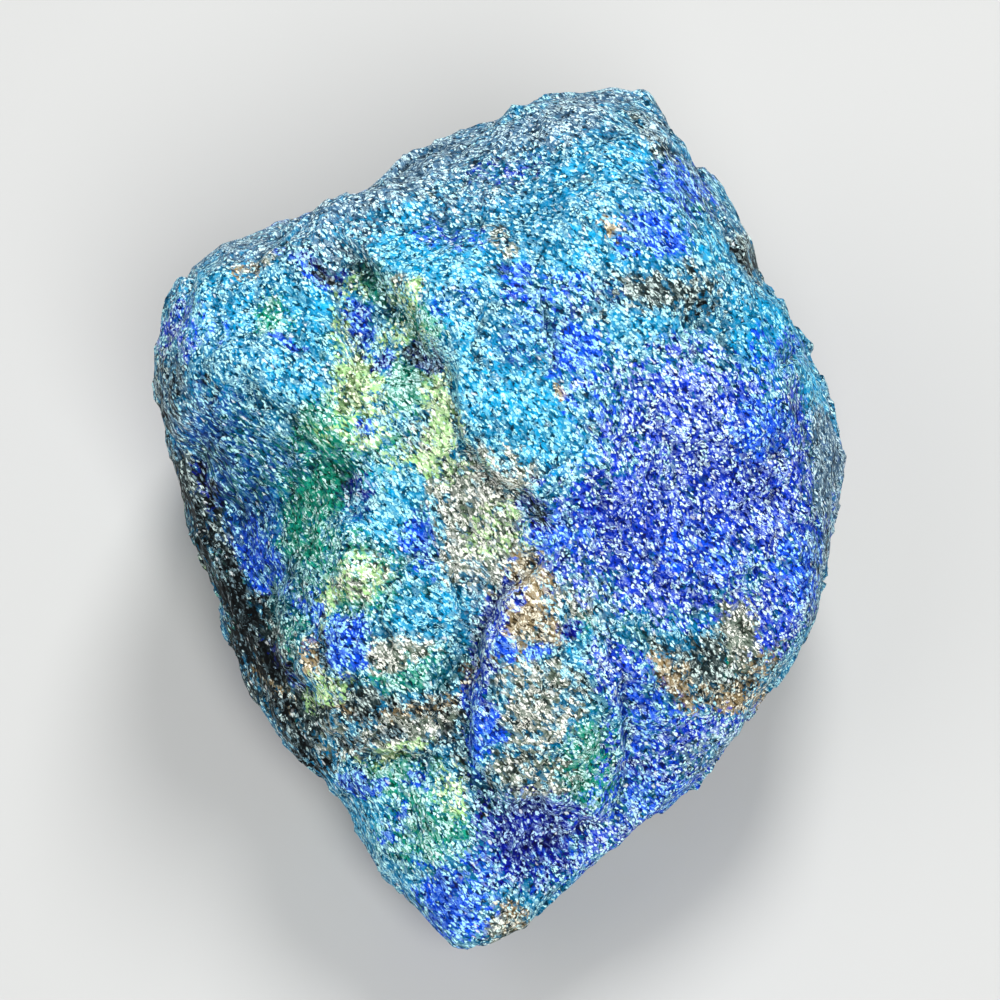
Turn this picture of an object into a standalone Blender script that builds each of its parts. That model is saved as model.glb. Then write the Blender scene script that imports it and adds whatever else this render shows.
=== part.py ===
# A broken piece of malachite and azurite in its rock: one stone, lying on a flat patch of its underside.
# Sizes are in millimetres until the mesh is written, and angles in degrees.

import math

import bmesh
import bpy
import numpy as np

MM = 0.001
TRIANGLES = 9400
SPHERE_LEVEL = 7
FLAT_WITHIN = 0.01

# The coloured front leans back, so it faces this far up from the horizon.
# Everything on it is drawn as it looks from that side: across to the right, up the face, and out of it.
FACING = 60
EYE = 281.0
CENTRE = (0.0, -4.1, 17.0)

# The rim, as seen from the front, with its deepest notches and corners (across, up).
# The rim isn't square to that view: it comes nearer by this much for each millimetre down.
RIM = [
    (-12.0, 23.1), (-14.5, 22.0), (-17.0, 21.9), (-20.5, 20.8), (-23.0, 19.0), (-24.2, 16.5),
    (-25.9, 12.3), (-26.3, 9.0), (-24.6, 3.0), (-23.6, 0.0), (-20.6, -7.7), (-18.8, -11.0),
    (-17.5, -15.4), (-15.4, -18.4), (-13.3, -19.2), (-10.7, -21.9), (-9.0, -26.0), (-6.8, -28.9),
    (-3.5, -32.5), (-1.1, -32.8), (2.0, -31.3), (3.5, -28.9), (6.8, -26.0), (9.3, -24.9),
    (11.3, -22.7), (16.0, -18.4), (18.4, -16.4), (18.8, -14.7), (22.8, -9.0), (24.0, -6.7),
    (24.4, -4.1), (25.8, 1.3), (25.9, 4.9), (24.7, 8.8), (21.7, 14.1), (19.4, 17.9),
    (18.7, 21.2), (14.7, 26.6), (13.9, 28.6), (12.6, 29.8), (11.0, 32.4), (8.6, 32.9),
    (5.6, 32.0), (-3.3, 28.2), (-8.0, 25.5),
]
RIM_LEAN = 0.26
RIM_GROWTH = 0.1

# The faces that bound the stone: (across, up, out) of a point on each, the turn of its outward normal round the
# front view, 0 right and 90 up, and how far the normal tilts out of the front, 90 square to it and 0 edge on.
FACES = {
    "upper face": (3.0, 16.5, 12.6, 60, 77),
    "far band": (-3.0, 26.5, 5.6, 98, 42),
    "right face": (15.0, 1.5, 9.4, -8, 66),
    "right rim": (24.0, 5.0, 1.6, 5, 26),
    "lower right": (10.5, -19.5, 7.2, -35, 60),
    "middle left": (-7.5, -3.0, 13.0, -165, 70),
    "lower left": (-9.0, -14.0, 10.0, -155, 60),
    "outer left": (-21.0, -3.0, 1.5, -160, 22),
    "left shoulder": (-20.0, 15.7, 6.8, 128, 52),
    "far corner": (15.8, 27.0, 0.6, 36, 30),
    "far wall": (-2.0, 31.0, -10.5, 108, -28),
    "far left wall": (-22.5, 20.5, -8.0, 145, -25),
    "left wall": (-26.8, 8.0, -5.0, 185, -20),
    "near left wall": (-20.3, -11.0, 0.0, -150, -10),
    "near right wall": (12.8, -22.6, 4.0, -45, -7),
    "right wall": (26.8, 2.0, -4.0, -5, -20),
    "far right wall": (18.5, 23.3, -8.0, 33, -25),
    "far corner wall": (12.2, 33.2, -5.0, 68, -36),
}
# How softly two faces meet.
FACE_BLEND = 0.7

# The underside rises on every side of the resting patch: (x, y) where each of its faces leaves the ground,
# the heading it rises in, and its slope.
UNDERSIDE = {
    "near": ((0.0, -22.5), -80, 28),
    "left": ((-14.0, 0.0), 172, 19),
    "right": ((15.0, 4.0), -14, 17),
    "far": ((-2.0, 23.0), 98, 15),
    "near left": ((-12.5, -13.0), -135, 28),
}

# Notches broken out of the front, each between faces that meet in its lowest line.
NOTCHES = {
    "left hollow": ((-18.0, 6.6, 8.0, -130, 38), (-15.0, -2.6, 3.8, 160, 50), (-11.3, 2.0, 11.6, 172, 34)),
    "lower terrace": ((-8.0, -16.6, 9.9, -112, 40), (-6.0, -22.0, 10.5, -110, 81)),
    "green gully": ((-9.0, 12.0, 11.6, -170, 66), (-11.5, 10.0, 11.0, 30, 72)),
}

# Ledges: how far the low side drops, how far it takes to come up again, and the edge, with the low side on the left.
LEDGES = {
    "crown": (1.9, 5.0, [(4.6, -0.6), (3.4, 0.4), (0.0, 3.0), (-2.2, 5.2), (-3.4, 9.0), (-5.6, 14.2), (-8.6, 18.4),
                         (-13.4, 22.0)]),
    "shoulder": (1.2, 3.5, [(-16.0, 20.1), (-12.8, 16.5), (-11.7, 12.8), (-12.2, 7.5)]),
    "plate": (1.9, 4.0, [(1.0, -22.6), (-0.4, -21.0), (-1.5, -18.7), (-2.4, -14.2), (-1.5, -9.8), (0.4, -6.0),
                         (4.4, -1.6)]),
    "plate foot": (1.6, 4.5, [(9.4, -10.5), (9.6, -13.5), (9.3, -18.0), (7.6, -22.4), (4.6, -21.8), (3.0, -20.3),
                              (1.4, -21.0), (-1.9, -21.6)]),
    "outer shelf": (2.2, 8.0, [(-11.0, -23.0), (-14.2, -18.0), (-15.0, -15.0), (-17.2, -10.5), (-18.8, -6.0),
                               (-20.8, -1.5), (-23.2, 3.0), (-26.5, 11.5)]),
    "bump": (1.7, 4.5, [(-2.5, -18.6), (-4.5, -18.0), (-9.4, -17.0), (-12.8, -15.0), (-15.0, -12.8), (-16.8, -10.5),
                        (-17.1, -6.0), (-15.6, -2.6)]),
    "far corner": (0.8, 3.0, [(12.2, 31.5), (12.4, 30.0), (13.0, 26.5), (15.4, 24.2), (17.5, 20.5), (20.5, 15.5)]),
}
# Half the width over which a ledge's edge falls.
LEDGE_EDGE = 0.8

# Cracks: depth, half width and line.
CRACKS = {
    "middle": (0.8, 0.55, [(-3.5, 6.0), (-1.5, 4.1), (1.5, 2.3), (3.6, 0.4), (5.0, -1.0)]),
    "plate": (0.7, 1.0, [(-3.4, -9.0), (-3.3, -14.0), (-2.4, -18.5), (-0.8, -21.6), (1.6, -21.4), (4.6, -22.4)]),
    "outer": (1.4, 0.9, [(-24.0, 8.0), (-22.0, 3.8), (-19.6, -2.0), (-18.2, -7.0), (-17.0, -11.5), (-13.4, -17.0)]),
    "shoulder": (0.8, 0.7, [(-21.0, 12.0), (-17.0, 8.2), (-13.6, 5.2), (-11.2, 3.2), (-10.6, 0.0)]),
}

# Lumps, and pits below zero: middle (across, up), half widths, turn of the first one, and rise.
LUMPS = {
    "green block": (-7.3, 10.0, 1.7, 1.5, 20, 0.9),
    "blue knob": (-10.6, -9.0, 1.5, 1.8, 0, 0.8),
    "upper swell": (9.5, 20.5, 7.0, 4.0, -30, 0.7),
    "right swell": (17.0, 8.5, 5.0, 4.0, -40, 0.8),
    "right dip": (14.0, 14.0, 3.6, 1.8, 10, -0.6),
    "rim dip": (11.0, -5.0, 2.6, 6.0, 40, -0.6),
    "middle swell": (-3.0, -4.0, 3.5, 4.0, 0, 0.9),
    "foot dip": (2.5, -24.5, 3.0, 1.8, 20, -0.7),
    "right shelf": (14.5, -13.5, 4.0, 2.6, 50, 0.7),
    "violet knob": (17.5, -3.0, 2.6, 3.4, 10, 0.6),
    "edge dip": (20.0, 2.0, 1.8, 3.2, 15, -0.7),
    "bottom swell": (-3.0, -28.0, 2.8, 2.0, -40, 0.5),
    "lower pit": (-8.0, -17.4, 2.0, 1.4, 10, -0.4),
    "bench pit": (-10.4, 13.6, 1.6, 1.3, -30, -0.8),
    "band dip": (-2.0, 22.5, 5.0, 1.6, 20, -0.6),
    "left swell": (-19.5, 12.0, 3.5, 2.2, 20, 0.6),
    "plate swell": (3.0, -15.0, 3.0, 4.0, 10, 0.6),
}

# Rough broken surface: spacing, height and seed of each layer, coarse to fine.
ROUGHNESS = ((9.0, 0.95, 1), (4.6, 0.45, 2), (2.4, 0.28, 3))
RIM_ROUGHNESS = 0.3
# It is drawn out along the stone's bedding, which runs down to the right over the front, by this share.
BEDDING_TURN = -44
BEDDING_STRETCH = 0.45
LATTICE = 32
# Edges wander by this much, with this spacing.
WANDER = (0.9, 3.2)

# The surface is searched along directions from a point deep behind the front, more of them toward the front.
CORE = (0.0, -1.0, 11.5)
FRONT_SHARE = 0.3
NEAREST, FARTHEST, HALVINGS = 4.0, 60.0, 34
# Brings the middle of the stone's outline on the ground to the origin.
SHIFT = (-0.04, 2.64, 0.0)

COLOUR = (0.17, 0.31, 0.39, 1.0)
ROUGH_FINISH = 0.6

PITCH = math.radians(FACING)
RIGHT = np.array([1.0, 0.0, 0.0])
UP = np.array([0.0, math.sin(PITCH), math.cos(PITCH)])
OUT = np.array([0.0, -math.cos(PITCH), math.sin(PITCH)])
MIDDLE = np.array(CENTRE)
BEDDING = math.cos(math.radians(BEDDING_TURN)) * RIGHT + math.sin(math.radians(BEDDING_TURN)) * UP


def clear_scene():
    for old in list(bpy.data.objects):
        bpy.data.objects.remove(old, do_unlink=True)


# 0 up to low and 1 from high on, with a smooth rise between them.
def rise(low, high, value):
    t = np.clip((value - low) / (high - low), 0.0, 1.0)
    return t * t * (3.0 - 2.0 * t)


# The larger of two heights, rounded where they meet.
def smooth_max(a, b, blend):
    return blend * np.logaddexp(a / blend, b / blend)


# Random heights from -1 to 1 on a lattice of that spacing, with smooth runs between them.
def noise(points, spacing, seed):
    table = np.random.default_rng(seed).uniform(-1.0, 1.0, (LATTICE, LATTICE, LATTICE))
    place = points / spacing + 100.5
    cell = np.floor(place).astype(int)
    part = place - cell
    part = part ** 3 * (part * (part * 6.0 - 15.0) + 10.0)
    total = np.zeros(len(points))
    for corner in np.ndindex(2, 2, 2):
        weight = np.prod(np.where(corner, part, 1.0 - part), axis=1)
        total += weight * table[tuple(((cell + corner) % LATTICE).T)]
    return total


# Across and up as seen from the eye, and how far out of the front.
def seen(points):
    from_middle = points - MIDDLE
    out = from_middle @ OUT
    nearer = EYE / (EYE - out)
    return from_middle @ RIGHT * nearer, from_middle @ UP * nearer, out


# Height over a face.
def over_face(points, face):
    across, up, out, turn, tilt = face
    turn, tilt = math.radians(turn), math.radians(tilt)
    normal = math.cos(tilt) * (math.cos(turn) * RIGHT + math.sin(turn) * UP) + math.sin(tilt) * OUT
    anchor = (across * RIGHT + up * UP) * (EYE - out) / EYE + out * OUT
    return (points - MIDDLE - anchor) @ normal


# Distance from the middle of the front view to the rim at each angle.
def rim_radius(angle):
    corners = np.array(RIM)
    angles = np.arctan2(corners[:, 1], corners[:, 0])
    order = np.argsort(angles)
    corners, angles = corners[order], angles[order]
    k = np.searchsorted(angles, np.mod(angle + math.pi, 2 * math.pi) - math.pi) % len(angles)
    start, run = corners[k - 1], corners[k] - corners[k - 1]
    cross = start[:, 0] * run[:, 1] - start[:, 1] * run[:, 0]
    return cross / (np.cos(angle) * run[:, 1] - np.sin(angle) * run[:, 0])


# How far each point of the view is from a line, on which side, and how far along it, from 0 to 1.
def beside(across, up, line):
    line = np.array(line)
    step = np.diff(line, axis=0)
    length = np.hypot(step[:, 0], step[:, 1])
    before = np.concatenate([[0.0], np.cumsum(length)])
    nearest = np.full(len(across), np.inf)
    side = np.zeros(len(across))
    along = np.zeros(len(across))
    for k, (step_across, step_up) in enumerate(step):
        from_start = across - line[k, 0], up - line[k, 1]
        t = np.clip((from_start[0] * step_across + from_start[1] * step_up) / length[k] ** 2, 0.0, 1.0)
        away = np.hypot(from_start[0] - t * step_across, from_start[1] - t * step_up)
        near = away < nearest
        side = np.where(near, np.sign(step_across * from_start[1] - step_up * from_start[0]), side)
        along = np.where(near, (before[k] + t * length[k]) / before[-1], along)
        nearest = np.where(near, away, nearest)
    return nearest, side, along


# A line's features are whole in its middle and run out toward its ends.
def whole(along):
    return rise(0.0, 0.16, along) * rise(1.0, 0.84, along)


# Notches, ledges, cracks, lumps and pits of the front, added to the height over the plain body.
def front_relief(points, body, across, up):
    for walls in NOTCHES.values():
        within = -over_face(points, walls[0])
        for wall in walls[1:]:
            within = smooth_max(within, -over_face(points, wall), FACE_BLEND)
        body = smooth_max(body, -within, 0.5)
    reach, spacing = WANDER
    across = across + reach * noise(points, spacing, 11)
    up = up + reach * noise(points, spacing, 12)
    for drop, run, line in LEDGES.values():
        away, side, along = beside(across, up, line)
        low = rise(-LEDGE_EDGE, LEDGE_EDGE, away * side) * np.exp(-np.maximum(away * side, 0.0) / run)
        body = body + drop * low * whole(along)
    for depth, half_width, line in CRACKS.values():
        away, side, along = beside(across, up, line)
        body = body + depth * np.exp(-(away / half_width) ** 2) * whole(along)
    for mid_across, mid_up, wide, high, turn, height in LUMPS.values():
        c, s = math.cos(math.radians(turn)), math.sin(math.radians(turn))
        x = ((across - mid_across) * c + (up - mid_up) * s) / wide
        y = ((up - mid_up) * c - (across - mid_across) * s) / high
        body = body - height * np.exp(-(x * x + y * y))
    return body


# Above zero outside the stone and below zero inside, in about millimetres.
def height_over(points):
    across, up, out = seen(points)
    angle = np.arctan2(up, across)
    from_rim = out + RIM_LEAN * up
    notched = rim_radius(angle)
    plain = sum(rim_radius(angle + math.radians(turn)) for turn in range(-16, 17, 4)) / 9
    radius = notched + (plain - notched) * rise(1.5, 9.0, np.abs(from_rim))
    taper = 0.15 * (np.logaddexp(0.0, (from_rim - 2.0) / 1.5) + 1.2 * np.logaddexp(0.0, (-from_rim - 2.0) / 1.5))
    heights = [np.hypot(across, up) - radius - RIM_GROWTH + taper]
    heights += [over_face(points, face) for face in FACES.values()]
    for (x, y), heading, slope in UNDERSIDE.values():
        heading, slope = math.radians(heading), math.radians(slope)
        normal = (math.sin(slope) * math.cos(heading), math.sin(slope) * math.sin(heading), -math.cos(slope))
        heights.append((points - (x, y, 0.0)) @ normal)
    body = heights[0]
    for height in heights[1:]:
        body = smooth_max(body, height, FACE_BLEND)
    front = rise(-2.0, 1.0, from_rim)
    body = body + front * (front_relief(points, body, across, up) - body)
    calm = RIM_ROUGHNESS + (1.0 - RIM_ROUGHNESS) * rise(1.0, 6.0, np.abs(from_rim))
    bedded = points - BEDDING_STRETCH * (points @ BEDDING)[:, None] * BEDDING
    for spacing, height, seed in ROUGHNESS:
        body = body + calm * height * noise(bedded, spacing, seed)
    return np.maximum(body, -points[:, 2])


# Each point of the unit sphere goes out from the core along its own direction until it lies on the surface.
def surface_points(sphere):
    directions = sphere + FRONT_SHARE * OUT
    directions /= np.linalg.norm(directions, axis=1)[:, None]
    low = np.full(len(directions), NEAREST)
    high = np.full(len(directions), FARTHEST)
    for _ in range(HALVINGS):
        middle = (low + high) / 2
        inside = height_over(directions * middle[:, None] + CORE) < 0
        low = np.where(inside, middle, low)
        high = np.where(inside, high, middle)
    return directions * low[:, None] + CORE


def stone_material():
    material = bpy.data.materials.new("malachite_azurite")
    material.use_nodes = True
    shader = material.node_tree.nodes["Principled BSDF"]
    shader.inputs["Base Color"].default_value = COLOUR
    shader.inputs["Roughness"].default_value = ROUGH_FINISH
    shader.inputs["Metallic"].default_value = 0.0
    return material


def vertex_points(mesh):
    flat = np.empty(len(mesh.vertices) * 3)
    mesh.vertices.foreach_get("co", flat)
    return flat.reshape(-1, 3)


# A fine sphere takes the stone's shape, then flat stretches give up their triangles to the ledges and edges.
def make_stone():
    mesh = bpy.data.meshes.new("fine stone")
    bm = bmesh.new()
    bmesh.ops.create_icosphere(bm, subdivisions=SPHERE_LEVEL, radius=1.0)
    bm.to_mesh(mesh)
    bm.free()
    sphere = vertex_points(mesh)
    sphere /= np.linalg.norm(sphere, axis=1)[:, None]
    mesh.vertices.foreach_set("co", ((surface_points(sphere) + SHIFT) * MM).ravel())
    mesh.update()

    stone = bpy.data.objects.new("stone", mesh)
    bpy.context.scene.collection.objects.link(stone)
    fewer = stone.modifiers.new("fewer triangles", "DECIMATE")
    fewer.ratio = TRIANGLES / len(mesh.polygons)
    fewer.use_collapse_triangulate = True
    bpy.context.view_layer.update()
    light = bpy.data.meshes.new_from_object(stone.evaluated_get(bpy.context.evaluated_depsgraph_get()))
    stone.modifiers.clear()
    stone.data = light
    bpy.data.meshes.remove(mesh)

    points = vertex_points(light)
    points[:, 2] = np.where(points[:, 2] < FLAT_WITHIN * MM, 0.0, points[:, 2])
    light.vertices.foreach_set("co", points.ravel())
    light.name = "stone"
    light.update()
    light.shade_smooth()
    light.materials.append(stone_material())
    return stone


clear_scene()
make_stone()
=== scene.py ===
# A rough malachite and azurite stone, lying on a pale floor.
import math
import bpy
import numpy as np
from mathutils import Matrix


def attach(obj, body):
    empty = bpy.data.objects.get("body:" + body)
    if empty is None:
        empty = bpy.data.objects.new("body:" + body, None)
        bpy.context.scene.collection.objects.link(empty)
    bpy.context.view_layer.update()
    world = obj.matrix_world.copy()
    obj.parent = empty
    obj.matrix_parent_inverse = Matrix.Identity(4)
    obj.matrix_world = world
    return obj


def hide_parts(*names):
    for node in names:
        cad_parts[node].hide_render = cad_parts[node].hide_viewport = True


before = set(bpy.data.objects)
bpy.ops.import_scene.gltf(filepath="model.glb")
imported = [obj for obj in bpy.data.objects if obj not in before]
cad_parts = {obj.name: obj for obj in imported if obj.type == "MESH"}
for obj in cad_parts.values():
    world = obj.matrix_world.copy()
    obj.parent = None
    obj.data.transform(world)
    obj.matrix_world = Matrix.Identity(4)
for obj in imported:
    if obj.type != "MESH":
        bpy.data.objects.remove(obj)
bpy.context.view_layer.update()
scene = bpy.context.scene
mm = 0.001
print("frame loaded")


# ways of working out a surface

def rise(low, high, value):
    # 0 up to low, 1 from high on, and 3t^2 - 2t^3 between
    t = np.clip((value - low) / (high - low), 0, 1)
    return t * t * (3 - 2 * t)


def smoothMax(a, b, blend):
    # the larger of two heights, with the corner between them rounded by a log of summed powers
    return blend * np.logaddexp(a / blend, b / blend)


latticeSize = 32          # a lattice repeats after this many cells
latticeStart = 100.5      # keeps its corners off the origin and its cells' numbers over zero


def latticeNoise(points, spacing, seed):
    # random values from -1 to 1 at the corners of a lattice, eased between by 6t^5 - 15t^4 + 10t^3 along each axis
    table = np.random.default_rng(seed).uniform(-1, 1, latticeSize ** 3)
    place = points / spacing + latticeStart
    cell = np.floor(place).astype(np.int64)
    part = place - cell
    part = part * part * part * (part * (part * 6 - 15) + 10)
    low, high = cell % latticeSize, (cell + 1) % latticeSize
    total = np.zeros(len(points))
    for x, shareX in ((low[:, 0], 1 - part[:, 0]), (high[:, 0], part[:, 0])):
        for y, shareY in ((low[:, 1], 1 - part[:, 1]), (high[:, 1], part[:, 1])):
            row = (x * latticeSize + y) * latticeSize
            between = table[row + low[:, 2]] * (1 - part[:, 2]) + table[row + high[:, 2]] * part[:, 2]
            total += shareX * shareY * between
    return total


def latticeFacets(points, spacing, seed):
    # a point at random in each lattice cell holds a plane of random slope and level: the height of the nearest's
    random = np.random.default_rng(seed)
    count = latticeSize ** 3
    centres = random.uniform(0.1, 0.9, (count, 3))
    slopes, levels = random.normal(0, 1, (count, 3)), random.uniform(-1, 1, count)
    place = points / spacing + latticeStart
    cell = np.floor(place).astype(np.int64)
    nearest, height = np.full(len(points), np.inf), np.zeros(len(points))
    for corner in np.ndindex(3, 3, 3):
        beside = cell + corner - 1
        index = (beside % latticeSize) @ (latticeSize ** 2, latticeSize, 1)
        away = place - beside - centres[index]
        distance = (away * away).sum(1)
        near = distance < nearest
        height = np.where(near, (away * slopes[index]).sum(1) + 0.5 * levels[index], height)
        nearest = np.where(near, distance, nearest)
    return height * spacing


# the stone's form, in millimetres and degrees

stoneForm = {
    "facing": 60,                 # how far up from the horizon the coloured front faces
    "eye": 281.0,                 # the distance the front is drawn from
    "middle": (0.0, -4.1, 17.0),
    "shift": (-0.04, 2.64, 0.0),  # brings the middle of the outline on the ground to the origin
    "rimLean": 0.26,              # the rim comes out of the front by this for each millimetre down
    "rimGrowth": 0.1,
    "rimEvens": (1.5, 9.0),       # how far from the rim its corners start to even out, and are gone
    "taper": (0.15, 2.0, 1.5),    # the slope of the sides, from how far off the rim, and over what it eases in
    "taperBehind": 1.2,           # how much faster behind the rim
    "faceBlend": 0.7,
    "notchBlend": 0.5,
    "reliefFrom": (-2.0, 1.0),    # the front's relief starts and is whole this far out of the rim
    "ledgeEdge": 0.42,            # half the width over which a ledge falls
    "lineFade": 0.16,             # the share of a ledge or crack over which each end fades
    "wander": (0.9, 3.2),         # how far edges wander, and how often
    "fineWander": (0.35, 1.1),
    "roughness": ((9.0, 0.95, 1), (4.6, 0.45, 2), (2.4, 0.28, 3)),  # spacing, height and seed of each layer
    "rimRoughness": 0.3,          # the share of it left at the rim, and how far off it is all there
    "rimCalm": (1.0, 6.0),
    "beddingTurn": -44,           # the bedding runs down to the right over the front, and draws roughness out
    "beddingStretch": 0.45,
    "facets": ((4.6, 0.075, 6), (2.0, 0.07, 7)),  # spacing, slope and seed of each layer of broken facets
    "grit": ((1.1, 0.13, 4), (0.6, 0.09, 5)),
    "gritStretch": 0.6,
    "fineAtRim": (0.4, 4.0),      # the same for facets and grit
    "fineFrom": 1.5,              # how far over the ground they are whole
    "core": (0.0, -1.0, 11.5),    # the surface is found along directions from here
    "reach": (4.0, 60.0),         # between these distances
    "frontShare": 0.3,            # how much denser the mesh is in front
    "cells": 127,                 # squares along each side of the six grids
    "quickCells": 70,
}

# the rim as seen from the front: across, up
rim = [
    (-12.0, 23.1), (-14.5, 22.0), (-17.0, 21.9), (-20.5, 20.8), (-23.0, 19.0), (-24.2, 16.5),
    (-25.9, 12.3), (-26.3, 9.0), (-24.6, 3.0), (-23.6, 0.0), (-20.6, -7.7), (-18.8, -11.0),
    (-17.5, -15.4), (-15.4, -18.4), (-13.3, -19.2), (-10.7, -21.9), (-9.0, -26.0), (-6.8, -28.9),
    (-3.5, -32.5), (-1.1, -32.8), (2.0, -31.3), (3.5, -28.9), (6.8, -26.0), (9.3, -24.9),
    (11.3, -22.7), (16.0, -18.4), (18.4, -16.4), (18.8, -14.7), (22.8, -9.0), (24.0, -6.7),
    (24.4, -4.1), (25.8, 1.3), (25.9, 4.9), (24.7, 8.8), (21.7, 14.1), (19.4, 17.9),
    (18.7, 21.2), (14.7, 26.6), (13.9, 28.6), (12.6, 29.8), (11.0, 32.4), (8.6, 32.9),
    (5.6, 32.0), (-3.3, 28.2), (-8.0, 25.5),
]

# broken faces: across, up and out of a point on each, its normal's turn round the front view and tilt out of it
faces = {
    "upper face": (3.0, 16.5, 12.6, 60, 77),
    "far band": (-3.0, 26.5, 5.6, 98, 42),
    "right face": (15.0, 1.5, 9.4, -8, 66),
    "right rim": (24.0, 5.0, 1.6, 5, 26),
    "lower right": (10.5, -19.5, 7.2, -35, 60),
    "middle left": (-7.5, -3.0, 13.0, -165, 70),
    "lower left": (-9.0, -14.0, 10.0, -155, 60),
    "outer left": (-21.0, -3.0, 1.5, -160, 22),
    "left shoulder": (-20.0, 15.7, 6.8, 128, 52),
    "far corner": (15.8, 27.0, 0.6, 36, 30),
    "far wall": (-2.0, 31.0, -10.5, 108, -28),
    "far left wall": (-22.5, 20.5, -8.0, 145, -25),
    "left wall": (-26.8, 8.0, -5.0, 185, -20),
    "near left wall": (-20.3, -11.0, 0.0, -150, -10),
    "near right wall": (12.8, -22.6, 4.0, -45, -7),
    "right wall": (26.8, 2.0, -4.0, -5, -20),
    "far right wall": (18.5, 23.3, -8.0, 33, -25),
    "far corner wall": (12.2, 33.2, -5.0, 68, -36),
}

# the underside's faces: where each leaves the ground, the heading it rises in, and its slope
underside = {
    "near": ((0.0, -22.5), -80, 28),
    "left": ((-14.0, 0.0), 172, 19),
    "right": ((15.0, 4.0), -14, 17),
    "far": ((-2.0, 23.0), 98, 15),
    "near left": ((-12.5, -13.0), -135, 28),
}

# notches broken out of the front, each between two or three faces
notches = {
    "left hollow": ((-18.0, 6.6, 8.0, -130, 38), (-15.0, -2.6, 3.8, 160, 50), (-11.3, 2.0, 11.6, 172, 34)),
    "lower terrace": ((-8.0, -16.6, 9.9, -112, 40), (-6.0, -22.0, 10.5, -110, 81)),
    "green gully": ((-9.0, 12.0, 11.6, -170, 66), (-11.5, 10.0, 11.0, 30, 72)),
}

# ledges: drop, how far the low side takes to come up again, and the edge, with the low side on the left
ledges = {
    "crown": (1.9, 5.0, [(4.6, -0.6), (3.4, 0.4), (0.0, 3.0), (-2.2, 5.2), (-3.4, 9.0), (-5.6, 14.2), (-8.6, 18.4),
                         (-13.4, 22.0)]),
    "shoulder": (1.2, 3.5, [(-16.0, 20.1), (-12.8, 16.5), (-11.7, 12.8), (-12.2, 7.5)]),
    "plate": (1.9, 4.0, [(1.0, -22.6), (-0.4, -21.0), (-1.5, -18.7), (-2.4, -14.2), (-1.5, -9.8), (0.4, -6.0),
                         (4.4, -1.6)]),
    "plate foot": (1.6, 4.5, [(9.4, -10.5), (9.6, -13.5), (9.3, -18.0), (7.6, -22.4), (4.6, -21.8),
                              (3.0, -20.3), (1.4, -21.0), (-1.9, -21.6)]),
    "outer shelf": (2.2, 8.0, [(-11.0, -23.0), (-14.2, -18.0), (-15.0, -15.0), (-17.2, -10.5), (-18.8, -6.0),
                               (-20.8, -1.5), (-23.2, 3.0), (-26.5, 11.5)]),
    "bump": (1.7, 4.5, [(-2.5, -18.6), (-4.5, -18.0), (-9.4, -17.0), (-12.8, -15.0), (-15.0, -12.8), (-16.8, -10.5),
                        (-17.1, -6.0), (-15.6, -2.6)]),
    "far corner": (0.8, 3.0, [(12.2, 31.5), (12.4, 30.0), (13.0, 26.5), (15.4, 24.2), (17.5, 20.5),
                              (20.5, 15.5)]),
}

# cracks: depth, half width and line
cracks = {
    "middle": (0.8, 0.55, [(-3.5, 6.0), (-1.5, 4.1), (1.5, 2.3), (3.6, 0.4), (5.0, -1.0)]),
    "plate": (0.7, 1.0, [(-3.4, -9.0), (-3.3, -14.0), (-2.4, -18.5), (-0.8, -21.6), (1.6, -21.4), (4.6, -22.4)]),
    "outer": (1.4, 0.9, [(-24.0, 8.0), (-22.0, 3.8), (-19.6, -2.0), (-18.2, -7.0), (-17.0, -11.5), (-13.4, -17.0)]),
    "shoulder": (0.8, 0.7, [(-21.0, 12.0), (-17.0, 8.2), (-13.6, 5.2), (-11.2, 3.2), (-10.6, 0.0)]),
}

# lumps, and pits below zero: middle, half widths, turn and rise
lumps = {
    "green block": (-7.3, 10.0, 1.7, 1.5, 20, 0.9),
    "blue knob": (-10.6, -9.0, 1.5, 1.8, 0, 0.8),
    "upper swell": (9.5, 20.5, 7.0, 4.0, -30, 0.7),
    "right swell": (17.0, 8.5, 5.0, 4.0, -40, 0.8),
    "right dip": (14.0, 14.0, 3.6, 1.8, 10, -0.6),
    "rim dip": (11.0, -5.0, 2.6, 6.0, 40, -0.6),
    "middle swell": (-3.0, -4.0, 3.5, 4.0, 0, 0.9),
    "foot dip": (2.5, -24.5, 3.0, 1.8, 20, -0.7),
    "right shelf": (14.5, -13.5, 4.0, 2.6, 50, 0.7),
    "violet knob": (17.5, -3.0, 2.6, 3.4, 10, 0.6),
    "edge dip": (20.0, 2.0, 1.8, 3.2, 15, -0.7),
    "bottom swell": (-3.0, -28.0, 2.8, 2.0, -40, 0.5),
    "lower pit": (-8.0, -17.4, 2.0, 1.4, 10, -0.4),
    "bench pit": (-10.4, 13.6, 1.6, 1.3, -30, -0.8),
    "band dip": (-2.0, 22.5, 5.0, 1.6, 20, -0.6),
    "left swell": (-19.5, 12.0, 3.5, 2.2, 20, 0.6),
    "plate swell": (3.0, -15.0, 3.0, 4.0, 10, 0.6),
}

pitch = math.radians(stoneForm["facing"])
right = np.array([1.0, 0.0, 0.0])
upward = np.array([0.0, math.sin(pitch), math.cos(pitch)])
outward = np.array([0.0, -math.cos(pitch), math.sin(pitch)])
along = math.radians(stoneForm["beddingTurn"])
bedding = math.cos(along) * right + math.sin(along) * upward
middle = np.array(stoneForm["middle"])
shift = np.array(stoneForm["shift"])


def seenFromFront(points):
    # across and up as the eye sees them, and the distance out of the front: a nearer point looks larger
    fromMiddle = points - middle
    out = fromMiddle @ outward
    nearer = stoneForm["eye"] / (stoneForm["eye"] - out)
    return fromMiddle @ right * nearer, fromMiddle @ upward * nearer, out


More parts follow.
